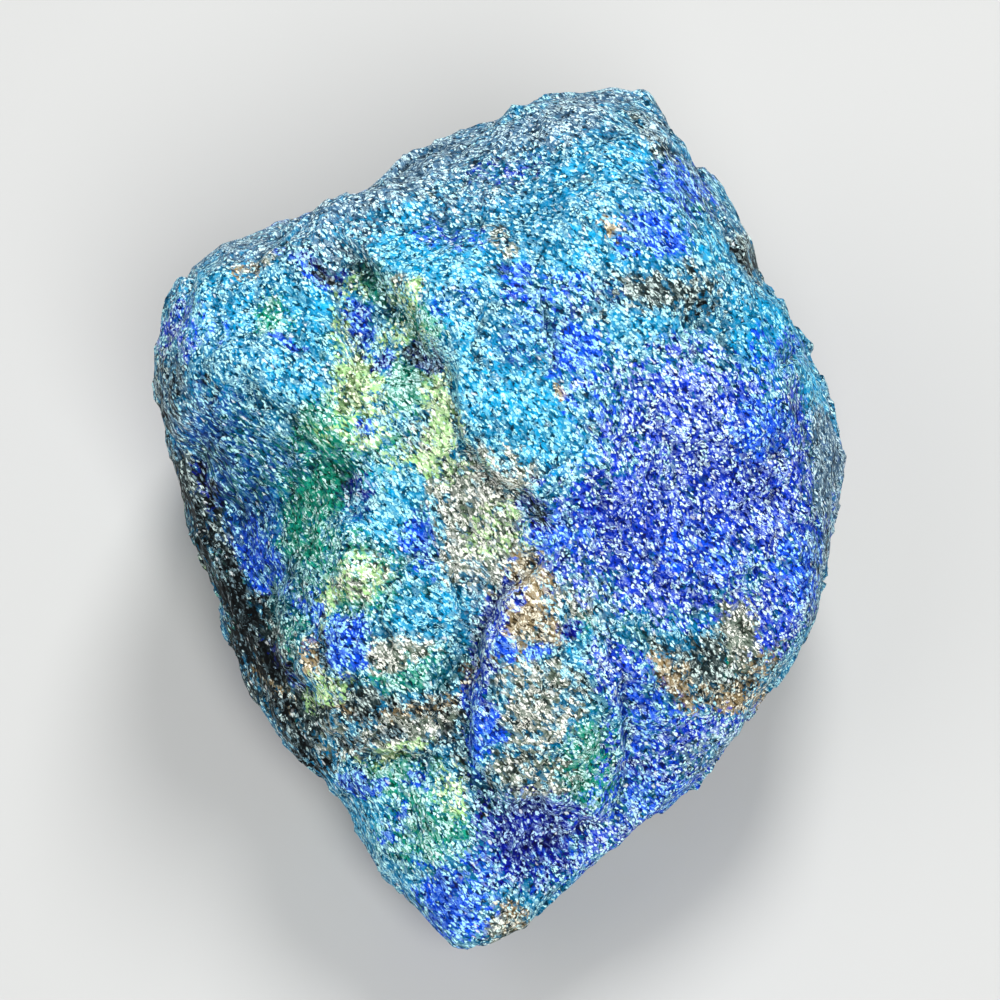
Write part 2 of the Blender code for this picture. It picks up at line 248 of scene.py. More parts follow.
def overFace(points, face):
    # height over a plane through the face's point, along its normal
    across, up, out, turn, tilt = face
    turn, tilt = math.radians(turn), math.radians(tilt)
    normal = math.cos(tilt) * (math.cos(turn) * right + math.sin(turn) * upward) + math.sin(tilt) * outward
    anchor = (across * right + up * upward) * (1 - out / stoneForm["eye"]) + out * outward
    return (points - middle - anchor) @ normal


def rimTable(steps=3600):
    # how far out the rim is at each angle: where a ray at that angle crosses the side between two corners. Also
    # the same evened out, the mean of nine angles up to 16 degrees to either side
    corners = np.array(rim)
    angles = np.arctan2(corners[:, 1], corners[:, 0])
    order = np.argsort(angles)
    corners, angles = corners[order], angles[order]
    angle = np.linspace(-math.pi, math.pi, steps + 1)
    k = np.searchsorted(angles, angle) % len(angles)
    start, run = corners[k - 1], corners[k] - corners[k - 1]
    radius = start[:, 0] * run[:, 1] - start[:, 1] * run[:, 0]
    radius /= np.cos(angle) * run[:, 1] - np.sin(angle) * run[:, 0]
    plain = np.mean([np.roll(radius[:-1], steps * turn // 360) for turn in range(-16, 17, 4)], axis=0)
    return angle, radius, np.append(plain, plain[0])


rimAngle, rimNotched, rimPlain = rimTable()


def besideLine(across, up, line):
    # distance to the nearest point of a line, the side it is on, and a share that fades to 0 at the line's ends
    line = np.array(line)
    step = np.diff(line, axis=0)
    length = np.hypot(step[:, 0], step[:, 1])
    before = np.concatenate([[0], np.cumsum(length)])
    nearest, side, along = np.full(len(across), np.inf), np.zeros(len(across)), np.zeros(len(across))
    for k in range(len(step)):
        x, y = across - line[k, 0], up - line[k, 1]
        t = np.clip((x * step[k, 0] + y * step[k, 1]) / length[k] ** 2, 0, 1)
        away = np.hypot(x - t * step[k, 0], y - t * step[k, 1])
        near = away < nearest
        side = np.where(near, np.sign(step[k, 0] * y - step[k, 1] * x), side)
        along = np.where(near, (before[k] + t * length[k]) / before[-1], along)
        nearest = np.where(near, away, nearest)
    fade = stoneForm["lineFade"]
    return nearest, side, rise(0, fade, along) * rise(1, 1 - fade, along)


def frontRelief(points, body, across, up):
    # the plain body with its notches cut, its ledges dropped, its cracks sunk, and its lumps and pits added
    for walls in notches.values():
        within = -overFace(points, walls[0])
        for wall in walls[1:]:
            within = smoothMax(within, -overFace(points, wall), stoneForm["faceBlend"])
        body = smoothMax(body, -within, stoneForm["notchBlend"])
    for (reach, spacing), seed in ((stoneForm["wander"], 11), (stoneForm["fineWander"], 13)):
        across = across + reach * latticeNoise(points, spacing, seed)
        up = up + reach * latticeNoise(points, spacing, seed + 1)
    for drop, run, line in ledges.values():
        away, side, whole = besideLine(across, up, line)
        edge = stoneForm["ledgeEdge"]
        body = body + drop * rise(-edge, edge, away * side) * np.exp(-np.maximum(away * side, 0) / run) * whole
    for depth, halfWidth, line in cracks.values():
        away, side, whole = besideLine(across, up, line)
        body = body + depth * np.exp(-(away / halfWidth) ** 2) * whole
    for midAcross, midUp, wide, high, turn, height in lumps.values():
        c, s = math.cos(math.radians(turn)), math.sin(math.radians(turn))
        x = ((across - midAcross) * c + (up - midUp) * s) / wide
        y = ((up - midUp) * c - (across - midAcross) * s) / high
        body = body - height * np.exp(-(x * x + y * y))
    return body


def drawnOut(points, share):
    # points closer together along the bedding by this share, so that noise taken at them is longer that way
    return points - share * (points @ bedding)[:, None] * bedding


def stoneHeight(points):
    # above zero outside the stone: the rounded maximum of its rim and faces, then the front's relief and the
    # roughness. Also how far a point lies out of the rim, and how far the relief has sunk it
    across, up, out = seenFromFront(points)
    angle = np.arctan2(up, across)
    fromRim = out + stoneForm["rimLean"] * up
    notched, plain = np.interp(angle, rimAngle, rimNotched), np.interp(angle, rimAngle, rimPlain)
    radius = notched + (plain - notched) * rise(*stoneForm["rimEvens"], np.abs(fromRim))
    slope, start, ease = stoneForm["taper"]
    behind = stoneForm["taperBehind"] * np.logaddexp(0, (-fromRim - start) / ease)
    taper = slope * (np.logaddexp(0, (fromRim - start) / ease) + behind)
    heights = [np.hypot(across, up) - radius - stoneForm["rimGrowth"] + taper]
    heights += [overFace(points, face) for face in faces.values()]
    for (x, y), heading, slope in underside.values():
        heading, slope = math.radians(heading), math.radians(slope)
        normal = (math.sin(slope) * math.cos(heading), math.sin(slope) * math.sin(heading), -math.cos(slope))
        heights.append((points - (x, y, 0)) @ normal)
    body = heights[0]
    for height in heights[1:]:
        body = smoothMax(body, height, stoneForm["faceBlend"])
    front = rise(*stoneForm["reliefFrom"], fromRim)
    shown = np.flatnonzero(front > 0)
    sunk = np.zeros(len(points))
    relief = frontRelief(points[shown], body[shown], across[shown], up[shown])
    sunk[shown] = front[shown] * (relief - body[shown])
    body = body + sunk
    atRim = stoneForm["rimRoughness"]
    calm = atRim + (1 - atRim) * rise(*stoneForm["rimCalm"], np.abs(fromRim))
    bedded = drawnOut(points, stoneForm["beddingStretch"])
    for spacing, height, seed in stoneForm["roughness"]:
        body = body + calm * height * latticeNoise(bedded, spacing, seed)
    return np.maximum(body, -points[:, 2]), fromRim, sunk


def stoneSurface(sphere, halvings=7, steps=15):
    # each direction from the core is followed to the surface, first halving the way that is left, then closing in
    # by false position. Then facets and grit are added along it
    directions = sphere + stoneForm["frontShare"] * outward
    directions /= np.linalg.norm(directions, axis=1)[:, None]
    low, high = (np.full(len(sphere), far) for far in stoneForm["reach"])
    lowHeight, highHeight = -np.ones(len(sphere)), np.ones(len(sphere))
    for step in range(steps):
        if step < halvings:
            guess = (low + high) / 2
        else:
            guess = (low * highHeight - high * lowHeight) / (highHeight - lowHeight)
        height = stoneHeight(directions * guess[:, None] + stoneForm["core"])[0]
        inside = height < 0
        if step > halvings:  # an end that stays put counts for half
            highHeight = np.where(inside & wasInside, highHeight / 2, highHeight)
            lowHeight = np.where(~inside & ~wasInside, lowHeight / 2, lowHeight)
        low, lowHeight = np.where(inside, guess, low), np.where(inside, height, lowHeight)
        high, highHeight = np.where(inside, high, guess), np.where(inside, highHeight, height)
        wasInside = inside
    points = directions * guess[:, None] + stoneForm["core"]
    fine = sum(slope * latticeFacets(points, spacing, seed) for spacing, slope, seed in stoneForm["facets"])
    bedded = drawnOut(points, stoneForm["gritStretch"])
    fine += sum(height * latticeNoise(bedded, spacing, seed) for spacing, height, seed in stoneForm["grit"])
    atRim, whole = stoneForm["fineAtRim"]
    fine *= atRim + (1 - atRim) * rise(0, whole, np.abs(stoneHeight(points)[1]))
    points += directions * (fine * rise(0, stoneForm["fineFrom"], points[:, 2]))[:, None]
    points[:, 2] = np.maximum(points[:, 2], 0)
    return points


def cubeSphere(cells):
    # six square grids, (tan a, tan b, 1) turned to each side of a cube, drawn in to the unit sphere and joined
    tangent = np.tan(np.linspace(-math.pi / 4, math.pi / 4, cells + 1))
    x, y = (grid.ravel() for grid in np.meshgrid(tangent, tangent, indexing="ij"))
    z = np.ones_like(x)
    sides = [(x, y, z), (x, -y, -z), (z, y, -x), (-z, y, x), (x, z, -y), (x, -z, y)]
    points = np.concatenate([np.stack(side, 1) for side in sides])
    points /= np.linalg.norm(points, axis=1)[:, None]
    corner = (np.arange(cells)[:, None] * (cells + 1) + np.arange(cells)).ravel()
    square = np.stack([corner, corner + cells + 1, corner + cells + 2, corner + 1], 1)
    squares = np.concatenate([square + k * (cells + 1) ** 2 for k in range(6)])
    rounded = np.round(points * 1e6).astype(np.int64)
    _, first, index = np.unique(rounded, axis=0, return_index=True, return_inverse=True)
    return points[first], index.reshape(-1)[squares]


def meshFrom(name, points, quads):
    # a smooth object from points and the squares between them
    mesh = bpy.data.meshes.new(name)
    mesh.from_pydata(points, [], quads)
    mesh.update()
    mesh.shade_smooth()
    piece = bpy.data.objects.new(name, mesh)
    scene.collection.objects.link(piece)
    return piece


sphere, quads = cubeSphere(stoneForm["cells"])
surface = stoneSurface(sphere)
stone = meshFrom("stone_surface", (surface + shift) * mm, quads)
print("stone surface:", len(surface), "points,", 2 * len(quads), "triangles")


# where each mineral shows

# the photograph that the patches were placed on: the pixel at the middle of the front, and its size
photoMiddle = (500, 520)
photoPixel = 0.075
finestPatch = 0.3

# patches on the front, in the photograph's pixels: middle (right, down), half widths, turn and strength
mineralPatches = {
    "haze": [(240, 240, 60, 20, 20, 0.75), (192, 278, 12, 30, -15, 0.7), (345, 205, 50, 18, 28, 0.85),
        (420, 165, 90, 24, 28, 0.95), (545, 125, 100, 24, 17, 0.95), (605, 102, 36, 14, 0, 0.8),
        (350, 240, 40, 18, 20, 0.5), (470, 200, 40, 14, 20, 0.55), (832, 470, 15, 64, 0, 1),
        (818, 560, 16, 50, -20, 0.8), (668, 128, 16, 20, -50, 0.6), (711, 199, 10, 50, 32, 0.6),
        (812, 600, 12, 30, -25, 0.5), (721, 754, 30, 14, 38, 0.5), (602, 600, 12, 50, 20, 0.4),
        (175, 400, 12, 40, 15, 0.45), (470, 600, 12, 40, 0, 0.4)],
    "cyan": [(318, 325, 30, 40, -10, 1), (345, 300, 18, 30, -30, 0.8), (406, 508, 42, 46, 0, 1),
        (432, 600, 20, 44, 0, 0.7), (395, 470, 30, 20, 0, 0.6), (540, 420, 46, 44, 0, 1),
        (510, 462, 40, 26, -20, 0.9), (772, 322, 34, 34, -35, 1), (803, 374, 15, 46, 28, 0.9),
        (400, 250, 50, 28, -30, 0.8), (460, 270, 60, 34, 10, 0.55), (590, 250, 50, 26, 20, 0.6),
        (640, 340, 60, 14, 0, 0.6), (600, 170, 50, 20, 10, 0.4), (706, 250, 14, 42, 26, 0.6),
        (300, 380, 40, 24, 0, 0.4), (410, 590, 22, 30, 0, 0.6), (425, 640, 16, 30, 0, 0.5),
        (590, 455, 20, 16, 0, 0.5), (655, 690, 16, 30, 0, 0.6), (660, 740, 20, 14, 0, 0.4),
        (620, 740, 12, 26, 0, 0.5), (215, 310, 40, 30, 0, 0.4), (375, 820, 24, 30, 0, 0.5),
        (480, 400, 24, 60, 0, 0.7), (345, 460, 14, 14, 0, 0.4), (590, 650, 14, 30, 20, 0.5)],
    # the first three deep patches darken the left face, which turns away from the lamps: partly its own dark blue,
    # partly painted shade
    "deep": [(238, 481, 38, 90, 28, 1), (206, 432, 26, 30, 20, 0.8), (250, 440, 40, 20, -30, 0.7),
        (290, 580, 20, 24, 0, 0.5), (300, 420, 16, 10, 0, 0.5), (340, 650, 14, 30, 0, 0.3),
        (600, 300, 30, 14, -30, 0.4), (540, 340, 40, 14, 30, 0.4), (350, 500, 10, 20, 0, 0.5)],
    "teal": [(375, 275, 24, 16, -40, 0.85), (240, 480, 60, 80, -30, 0.35), (320, 480, 30, 56, -10, 0.75),
        (300, 570, 30, 24, 20, 0.65), (430, 665, 44, 30, 0, 0.7), (283, 608, 15, 46, 12, 0.95),
        (440, 830, 50, 50, 0, 0.45), (655, 640, 24, 24, 0, 0.45), (600, 740, 26, 50, 20, 0.45),
        (390, 560, 50, 30, 0, 0.3), (720, 645, 30, 26, 0, 0.4), (330, 345, 14, 40, 0, 0.3)],
    "green": [(405, 385, 26, 22, 10, 1), (425, 330, 30, 26, -20, 0.75), (385, 295, 30, 16, -40, 0.5),
        (276, 325, 15, 13, 0, 0.85), (322, 490, 26, 44, -15, 0.8), (312, 536, 22, 14, 10, 0.95),
        (698, 204, 10, 8, 0, 1), (330, 425, 46, 26, 10, 1), (350, 470, 24, 14, 0, 0.6),
        (385, 780, 24, 22, 30, 0.8), (430, 820, 44, 40, 40, 0.6), (350, 580, 40, 36, 0, 0.9),
        (592, 775, 26, 44, 15, 0.8), (800, 575, 14, 14, 0, 0.5), (600, 620, 24, 20, 0, 0.35),
        (400, 660, 34, 24, 0, 0.5), (470, 830, 20, 24, 0, 0.4), (295, 640, 22, 20, 0, 0.35),
        (228, 590, 16, 50, 25, 0.4), (400, 450, 50, 20, -10, 0.5), (285, 690, 14, 34, 33, 0.35),
        (730, 660, 24, 20, 0, 0.4), (660, 570, 20, 10, 0, 0.2)],
    "rock": [(665, 302, 50, 18, -5, 0.75), (695, 285, 26, 16, 0, 0.6), (420, 728, 62, 30, 10, 0.95),
        (199, 497, 20, 56, 25, 1), (233, 577, 24, 60, 26, 1), (264, 646, 26, 56, 30, 1),
        (299, 718, 30, 56, 38, 1), (328, 660, 18, 26, 30, 0.6), (750, 256, 10, 28, 25, 0.95),
        (665, 147, 11, 34, 34, 0.85), (530, 700, 36, 60, 0, 0.5), (535, 770, 36, 30, 0, 0.85),
        (725, 655, 44, 36, 10, 0.9), (512, 927, 30, 16, -20, 0.95), (490, 235, 12, 12, 0, 0.7),
        (475, 880, 8, 8, 0, 0.7), (505, 478, 52, 12, -36, 0.6), (165, 400, 8, 50, 10, 0.75),
        (500, 180, 40, 14, 15, 0.35), (560, 690, 30, 30, 0, 0.4), (350, 700, 40, 24, 20, 0.8),
        (590, 590, 24, 30, -20, 0.5), (430, 190, 40, 12, 20, 0.3), (470, 770, 14, 30, 0, 0.5),
        (675, 635, 20, 14, 0, 0.5), (590, 310, 30, 40, -30, 0.3)],
    "cream": [(283, 257, 34, 9, 24, 0.45), (480, 520, 48, 54, 15, 0.9), (455, 485, 24, 20, 0, 0.75),
        (540, 540, 16, 16, 0, 0.5), (392, 642, 34, 13, 15, 0.9), (508, 932, 22, 10, -20, 0.35),
        (530, 700, 36, 56, 0, 0.75), (575, 590, 22, 30, -20, 0.6), (354, 574, 24, 20, 0, 0.55),
        (440, 440, 22, 40, 0, 0.45), (738, 622, 24, 28, 0, 1), (385, 738, 62, 16, 8, 0.75),
        (540, 775, 34, 26, 0, 0.4), (320, 585, 14, 18, 0, 0.5), (690, 600, 12, 10, 0, 0.5),
        (800, 575, 10, 14, 0, 0.5), (495, 240, 12, 8, 0, 0.5), (400, 285, 8, 14, -30, 0.5),
        (305, 265, 14, 5, -10, 0.6)],
    "tan": [(519, 596, 26, 50, -12, 1), (547, 628, 24, 13, -30, 0.9), (548, 566, 13, 20, 0, 0.7),
        (680, 676, 15, 32, 30, 1), (737, 692, 24, 18, 0, 1), (750, 640, 14, 40, 0, 0.4),
        (776, 530, 7, 26, 0, 0.75), (252, 272, 16, 16, 0, 0.45), (612, 240, 9, 9, 0, 0.6),
        (472, 672, 5, 36, 0, 0.55), (420, 712, 44, 12, 10, 0.45), (515, 918, 20, 12, -20, 0.4),
        (665, 655, 12, 14, 0, 0.6), (560, 387, 12, 4, -35, 0.8), (325, 662, 26, 8, -50, 0.7),
        (280, 690, 9, 30, 33, 0.4), (340, 705, 30, 8, -35, 0.5), (500, 520, 40, 30, 0, 0.3)],
    "lime": [(356, 375, 20, 26, 10, 1), (340, 330, 12, 30, 10, 0.55), (443, 420, 17, 50, 8, 0.85),
        (400, 345, 30, 14, 0, 0.4), (372, 416, 22, 14, 0, 0.5), (345, 405, 22, 16, 0, 0.6),
        (392, 756, 34, 8, 10, 0.6), (430, 460, 40, 14, -10, 0.6), (420, 300, 18, 18, -30, 0.6),
        (345, 275, 26, 10, -35, 0.5), (455, 795, 16, 24, 0, 0.4), (335, 680, 24, 16, 50, 0.5),
        (510, 525, 40, 24, 0, 0.35), (350, 430, 40, 12, 0, 0.4), (320, 600, 14, 30, 0, 0.35),
        (352, 572, 28, 22, 0, 0.4)],
    "violet": [(700, 430, 90, 60, -8, 0.95), (750, 490, 80, 80, 0, 1), (650, 520, 86, 60, 10, 1),
        (672, 578, 74, 34, 0, 0.95), (775, 600, 30, 44, 0, 0.9), (595, 525, 36, 34, 0, 0.9),
        (491, 612, 12, 44, -27, 0.9), (486, 690, 12, 60, 0, 0.9), (628, 690, 26, 44, 10, 0.9),
        (660, 760, 50, 50, 30, 0.75), (178, 336, 10, 28, -42, 0.85), (640, 390, 60, 24, 0, 0.45),
        (570, 840, 60, 36, 0, 0.7), (630, 830, 44, 36, 0, 0.75), (566, 562, 14, 34, 30, 0.6),
        (786, 440, 26, 50, 0, 0.7), (700, 740, 50, 24, 35, 0.7), (500, 172, 34, 10, 10, 0.4),
        (720, 370, 60, 20, -20, 0.5)],
    "royal": [(512, 272, 16, 16, 0, 0.8), (575, 355, 30, 17, 10, 0.85), (655, 238, 34, 24, -10, 0.85),
        (685, 190, 34, 22, -30, 0.65), (765, 440, 26, 34, 0, 0.8), (790, 560, 20, 40, 0, 0.7),
        (570, 525, 24, 22, 0, 0.8), (486, 730, 13, 46, 0, 1), (640, 720, 30, 36, 0, 0.5),
        (352, 638, 19, 28, 0, 1), (290, 346, 11, 5, 0, 0.95), (357, 319, 15, 28, 15, 0.95),
        (318, 262, 26, 9, -15, 0.8), (412, 530, 13, 30, 0, 0.75), (260, 545, 18, 36, 28, 0.7),
        (455, 902, 38, 34, 0, 1), (480, 880, 26, 20, 0, 0.5), (365, 786, 13, 10, 0, 0.95),
        (412, 788, 14, 10, 0, 0.8), (655, 700, 24, 30, 0, 0.5), (640, 800, 50, 26, 0, 0.55),
        (430, 235, 18, 12, 0, 0.4), (470, 310, 18, 14, 0, 0.4), (600, 400, 30, 16, 0, 0.35),
        (306, 612, 10, 26, 18, 0.55), (385, 360, 11, 9, 0, 0.9), (560, 860, 30, 16, 0, 0.6),
        (365, 424, 10, 7, 0, 0.6), (540, 650, 18, 9, 0, 0.7), (500, 640, 10, 8, 0, 0.7),
        (700, 560, 50, 30, 0, 0.35), (780, 350, 24, 30, -30, 0.35), (560, 300, 40, 30, 0, 0.3),
        (395, 830, 14, 16, 0, 0.5), (450, 240, 30, 12, 0, 0.3), (210, 330, 24, 12, 0, 0.3)],
    "navy": [(528, 838, 46, 40, 10, 1), (560, 862, 22, 12, 0, 0.7), (572, 628, 18, 9, -20, 0.7),
        (545, 512, 22, 10, -40, 0.85), (383, 362, 10, 9, 0, 0.8), (320, 258, 20, 6, -15, 0.75),
        (207, 476, 7, 22, 40, 0.7), (290, 668, 24, 8, -45, 0.7), (490, 690, 6, 6, 0, 0.9),
        (520, 300, 10, 10, 0, 0.4), (430, 362, 18, 8, -20, 0.8), (760, 490, 30, 30, 0, 0.25),
        (600, 500, 30, 20, 0, 0.3), (360, 315, 8, 10, 0, 0.7), (355, 485, 8, 18, -20, 0.6),
        (650, 780, 16, 16, 0, 0.35)],
    # near-black patches along the outer ledge, under the left rim and in the crevices: painted shade where those
    # faces lie in shadow
    "darkStoneAndPaintedShade": [(207, 478, 6, 26, 40, 1), (196, 510, 12, 36, 24, 0.85), (230, 584, 20, 58, 26, 1),
        (292, 670, 22, 9, -45, 0.8), (545, 512, 16, 8, -40, 0.6), (375, 738, 34, 8, 15, 0.65),
        (428, 362, 16, 7, -20, 0.7), (262, 652, 15, 54, 30, 0.85), (312, 765, 24, 16, -38, 0.9),
        (170, 420, 7, 50, 5, 0.5), (330, 262, 16, 5, -20, 0.6), (330, 645, 7, 30, 20, 0.7),
        (400, 712, 50, 8, 5, 0.45), (296, 726, 16, 46, 38, 0.6), (745, 262, 6, 18, 20, 0.5),
        (500, 812, 14, 5, 0, 0.5), (205, 385, 8, 14, 0, 0.4), (820, 540, 6, 30, 0, 0.3),
        (700, 310, 20, 8, 0, 0.4)],
    "dense": [(480, 520, 50, 56, 10, 1), (405, 385, 70, 60, 0, 0.9), (356, 375, 26, 32, 0, 1),
        (540, 415, 50, 44, 0, 0.5), (318, 325, 36, 44, 0, 0.4), (350, 580, 44, 44, 0, 0.7),
        (392, 642, 34, 14, 15, 1), (580, 300, 60, 50, -20, 0.5), (540, 700, 44, 70, 0, 0.4),
        (410, 810, 50, 50, 0, 0.4), (650, 365, 80, 30, 0, 0.6), (520, 600, 24, 44, 0, 0.7),
        (350, 640, 18, 26, 0, 0.4), (690, 430, 50, 40, 0, 0.4), (740, 610, 20, 18, 0, 0.6),
        (395, 490, 40, 40, 0, 0.6), (260, 350, 70, 40, 0, 0.25), (290, 262, 40, 16, 20, 0.7),
        (450, 330, 60, 60, 0, 0.4), (430, 440, 30, 40, 0, 0.7), (740, 740, 30, 20, 0, 0.6),
        (575, 590, 20, 40, 0, 0.5), (600, 640, 20, 60, -20, 0.5), (555, 800, 50, 20, 0, 0.4)],
    "sparse": [(238, 480, 44, 88, 28, 0.5), (205, 520, 20, 60, 25, 0.8), (248, 630, 26, 90, 28, 1),
        (295, 725, 24, 50, 38, 0.9), (320, 480, 34, 60, 0, 0.8), (318, 330, 24, 50, 0, 0.7),
        (765, 320, 30, 40, -30, 0.6), (540, 415, 34, 34, 0, 0.5), (486, 730, 12, 40, 0, 0.5),
        (352, 638, 16, 24, 0, 0.5), (360, 380, 30, 30, 0, 0.4), (450, 905, 36, 30, 0, 0.6),
        (528, 838, 44, 36, 10, 0.3), (640, 520, 60, 40, 0, 0.3), (680, 560, 60, 30, 0, 0.3),
        (770, 440, 26, 30, 0, 0.4), (820, 480, 20, 60, 0, 0.4)],
}

# elsewhere the minerals lie in clouds: spacing, seed, where a cloud starts and is whole, and its strength
mineralClouds = {
    "haze": (8.0, 21, 0.18, 0.6, 0.6),
    "green": (8.0, 22, 0.3, 0.6, 0.8),
    "teal": (12.0, 23, 0.1, 0.55, 0.7),
    "rock": (10.0, 24, 0.05, 0.45, 0.9),
    "tan": (7.0, 25, 0.38, 0.65, 0.8),
    "cream": (6.0, 26, 0.42, 0.7, 0.6),
    "lime": (6.5, 27, 0.5, 0.75, 0.6),
    "violet": (10.0, 28, 0.12, 0.45, 1.0),
    "royal": (6.0, 29, 0.28, 0.6, 0.9),
    "navy": (7.5, 30, 0.35, 0.65, 0.8),
    "cyan": (9.0, 43, 0.1, 0.55, 0.8),
    "deep": (10.0, 44, 0.15, 0.6, 0.7),
    # behind the rim the same near-black lies in random clouds of dark stone
    "darkStoneAndPaintedShade": (9.0, 39, 0.35, 0.7, 0.7),
    "sparse": (9.0, 38, 0.1, 0.6, 0.6),
    "dense": (8.0, 40, 0.2, 0.6, 0.6),
}
cloudDetail = (0.35, 2.7, 20)     # a finer layer in each: its share, how much finer, and how far its seed is on
patchFade = (1.6, 0.45)           # a patch starts and is whole at these shares of its half widths
patchWander = ((1.1, 5.0, 31), (0.7, 1.9, 33), (0.35, 0.8, 37))     # how far edges stray, how often, and seed
hiddenFrom = (-11.0, -6.0)        # how far out of the rim patches start to take the clouds' place, and have it
hiddenWander = ((5.0, 8.0, 35), (1.5, 2.5, 36))
# painted shade in recesses is whole where the relief has sunk this far
deepRelief = 2.2                  # relief sunk this far is a whole recess


def photoLength(pixels):
    # in millimetres, to a tenth
    return round(pixels * photoPixel, 1)


def patchMask(across, up, patches):
    # the strongest of a mineral's soft-edged ellipses at each point
    mask = np.zeros(len(across))
    for fromLeft, fromTop, halfWidth, halfHeight, turn, strength in patches:
        midAcross, midUp = photoLength(fromLeft - photoMiddle[0]), photoLength(photoMiddle[1] - fromTop)
        wide, high = (max(photoLength(half), finestPatch) for half in (halfWidth, halfHeight))
        c, s = math.cos(math.radians(turn)), math.sin(math.radians(turn))
        x = ((across - midAcross) * c + (up - midUp) * s) / wide
        y = ((up - midUp) * c - (across - midAcross) * s) / high
        mask = np.maximum(mask, strength * rise(*patchFade, np.hypot(x, y)))
    return mask


def stoneMasks(points):
    # each mineral's share from 0 to 1: its patches in front, its cloud behind. Also how deep in the relief
    _, fromRim, sunk = stoneHeight(points)
    across, up, _ = seenFromFront(points)
    for reach, spacing, seed in patchWander:
        across = across + reach * latticeNoise(points, spacing, seed)
        up = up + reach * latticeNoise(points, spacing, seed + 1)
    for reach, spacing, seed in hiddenWander:
        fromRim = fromRim + reach * latticeNoise(points, spacing, seed)
    front = rise(*hiddenFrom, fromRim)
    share, finer, seedStep = cloudDetail
    masks = {}
    for name, (spacing, seed, low, high, strength) in mineralClouds.items():
        cloud = latticeNoise(points, spacing, seed)
        cloud += share * latticeNoise(points, spacing / finer, seed + seedStep)
        masks[name] = front * patchMask(across, up, mineralPatches[name])
        masks[name] += (1 - front) * strength * rise(low, high, cloud)
    # recess: how far the relief has sunk a point, used only for painted shade that darkens recesses
    masks["recess"] = np.clip(sunk / deepRelief, 0, 1)
    return masks


def hollows(mesh, points, rounds=24):
    # how far each point lies under the surface round it, in millimetres: over zero in hollows, under it on ridges.
    # That surface is smoothed by moving each point halfway to its neighbours' mean, again and again
    ends = np.empty(2 * len(mesh.edges), np.int32)
    mesh.edges.foreach_get("vertices", ends)
    ends = ends.reshape(-1, 2)
    start, end = np.concatenate([ends, ends[:, ::-1]]).T
    count = np.bincount(start, minlength=len(points))
    smooth = points
    for _ in range(rounds):
        around = np.stack([np.bincount(start, smooth[end, k], len(points)) for k in range(3)], 1)
        smooth = (smooth + around / count[:, None]) / 2
    normals = np.empty(3 * len(points), np.float32)
    mesh.vertex_normals.foreach_get("vector", normals)
    return ((smooth - points) * normals.reshape(-1, 3)).sum(1)


def setAttribute(mesh, name, values):
    layer = mesh.attributes.new(name, "FLOAT", "POINT")
    layer.data.foreach_set("value", values.astype(np.float32))


for name, values in stoneMasks(surface).items():
    setAttribute(stone.data, name, values)
setAttribute(stone.data, "hollow", hollows(stone.data, surface))
print("minerals placed")


# what the material is made of

def srgb(red, green, blue):
    # a colour as the screen shows it, 0 to 255, made linear: ((c + 0.055) / 1.055)^2.4, or c / 12.92 if dark
    shown = [c / 255 for c in (red, green, blue)]
    return tuple(((c + 0.055) / 1.055) ** 2.4 if c > 0.04045 else c / 12.92 for c in shown) + (1.0,)


def addNode(tree, kind, inputs=(), **settings):
    # a node with its settings, and each input linked where a socket is given, or else set
    node = tree.nodes.new(kind)
    for key, value in settings.items():
        setattr(node, key, value)
    for key, value in dict(inputs).items():
        if isinstance(value, bpy.types.NodeSocket):
            tree.links.new(value, node.inputs[key])
        else:
            node.inputs[key].default_value = value
    return node


def mathNode(tree, operation, first, second=0.0, third=0.0):
    return addNode(tree, "ShaderNodeMath", {0: first, 1: second, 2: third}, operation=operation).outputs[0]


def multiply(tree, first, second):
    return mathNode(tree, "MULTIPLY", first, second)


def multiplyAdd(tree, first, second, third):
    return mathNode(tree, "MULTIPLY_ADD", first, second, third)


def vectorNode(tree, operation, inputs):
    return addNode(tree, "ShaderNodeVectorMath", inputs, operation=operation).outputs


def noiseNode(tree, place, scale, detail, roughness, distortion=0.0):
    settings = {"Vector": place, "Scale": scale, "Detail": detail, "Roughness": roughness,
                "Distortion": distortion}
    return addNode(tree, "ShaderNodeTexNoise", settings).outputs


def mixColour(tree, share, first, second):
    return addNode(tree, "ShaderNodeMix", {0: share, 6: first, 7: second}, data_type="RGBA").outputs[2]


def smoothStep(tree, value, low, high):
    # 0 at low and 1 at high, eased between; low may be the larger
    settings = {"Value": value, "From Min": low, "From Max": high}
    return addNode(tree, "ShaderNodeMapRange", settings, interpolation_type="SMOOTHSTEP").outputs["Result"]


def newGroup(name, inputs, outputs):
    # an empty group with these sockets, what it is given and what it makes
    group = bpy.data.node_groups.new(name, "ShaderNodeTree")
    for socketName, kind, value in inputs:
        socket = group.interface.new_socket(socketName, in_out="INPUT", socket_type="NodeSocket" + kind)
        if value is not None:
            socket.default_value = value
    for socketName, kind in outputs:
        group.interface.new_socket(socketName, in_out="OUTPUT", socket_type="NodeSocket" + kind)
    return group, group.nodes.new("NodeGroupInput").outputs, group.nodes.new("NodeGroupOutput").inputs


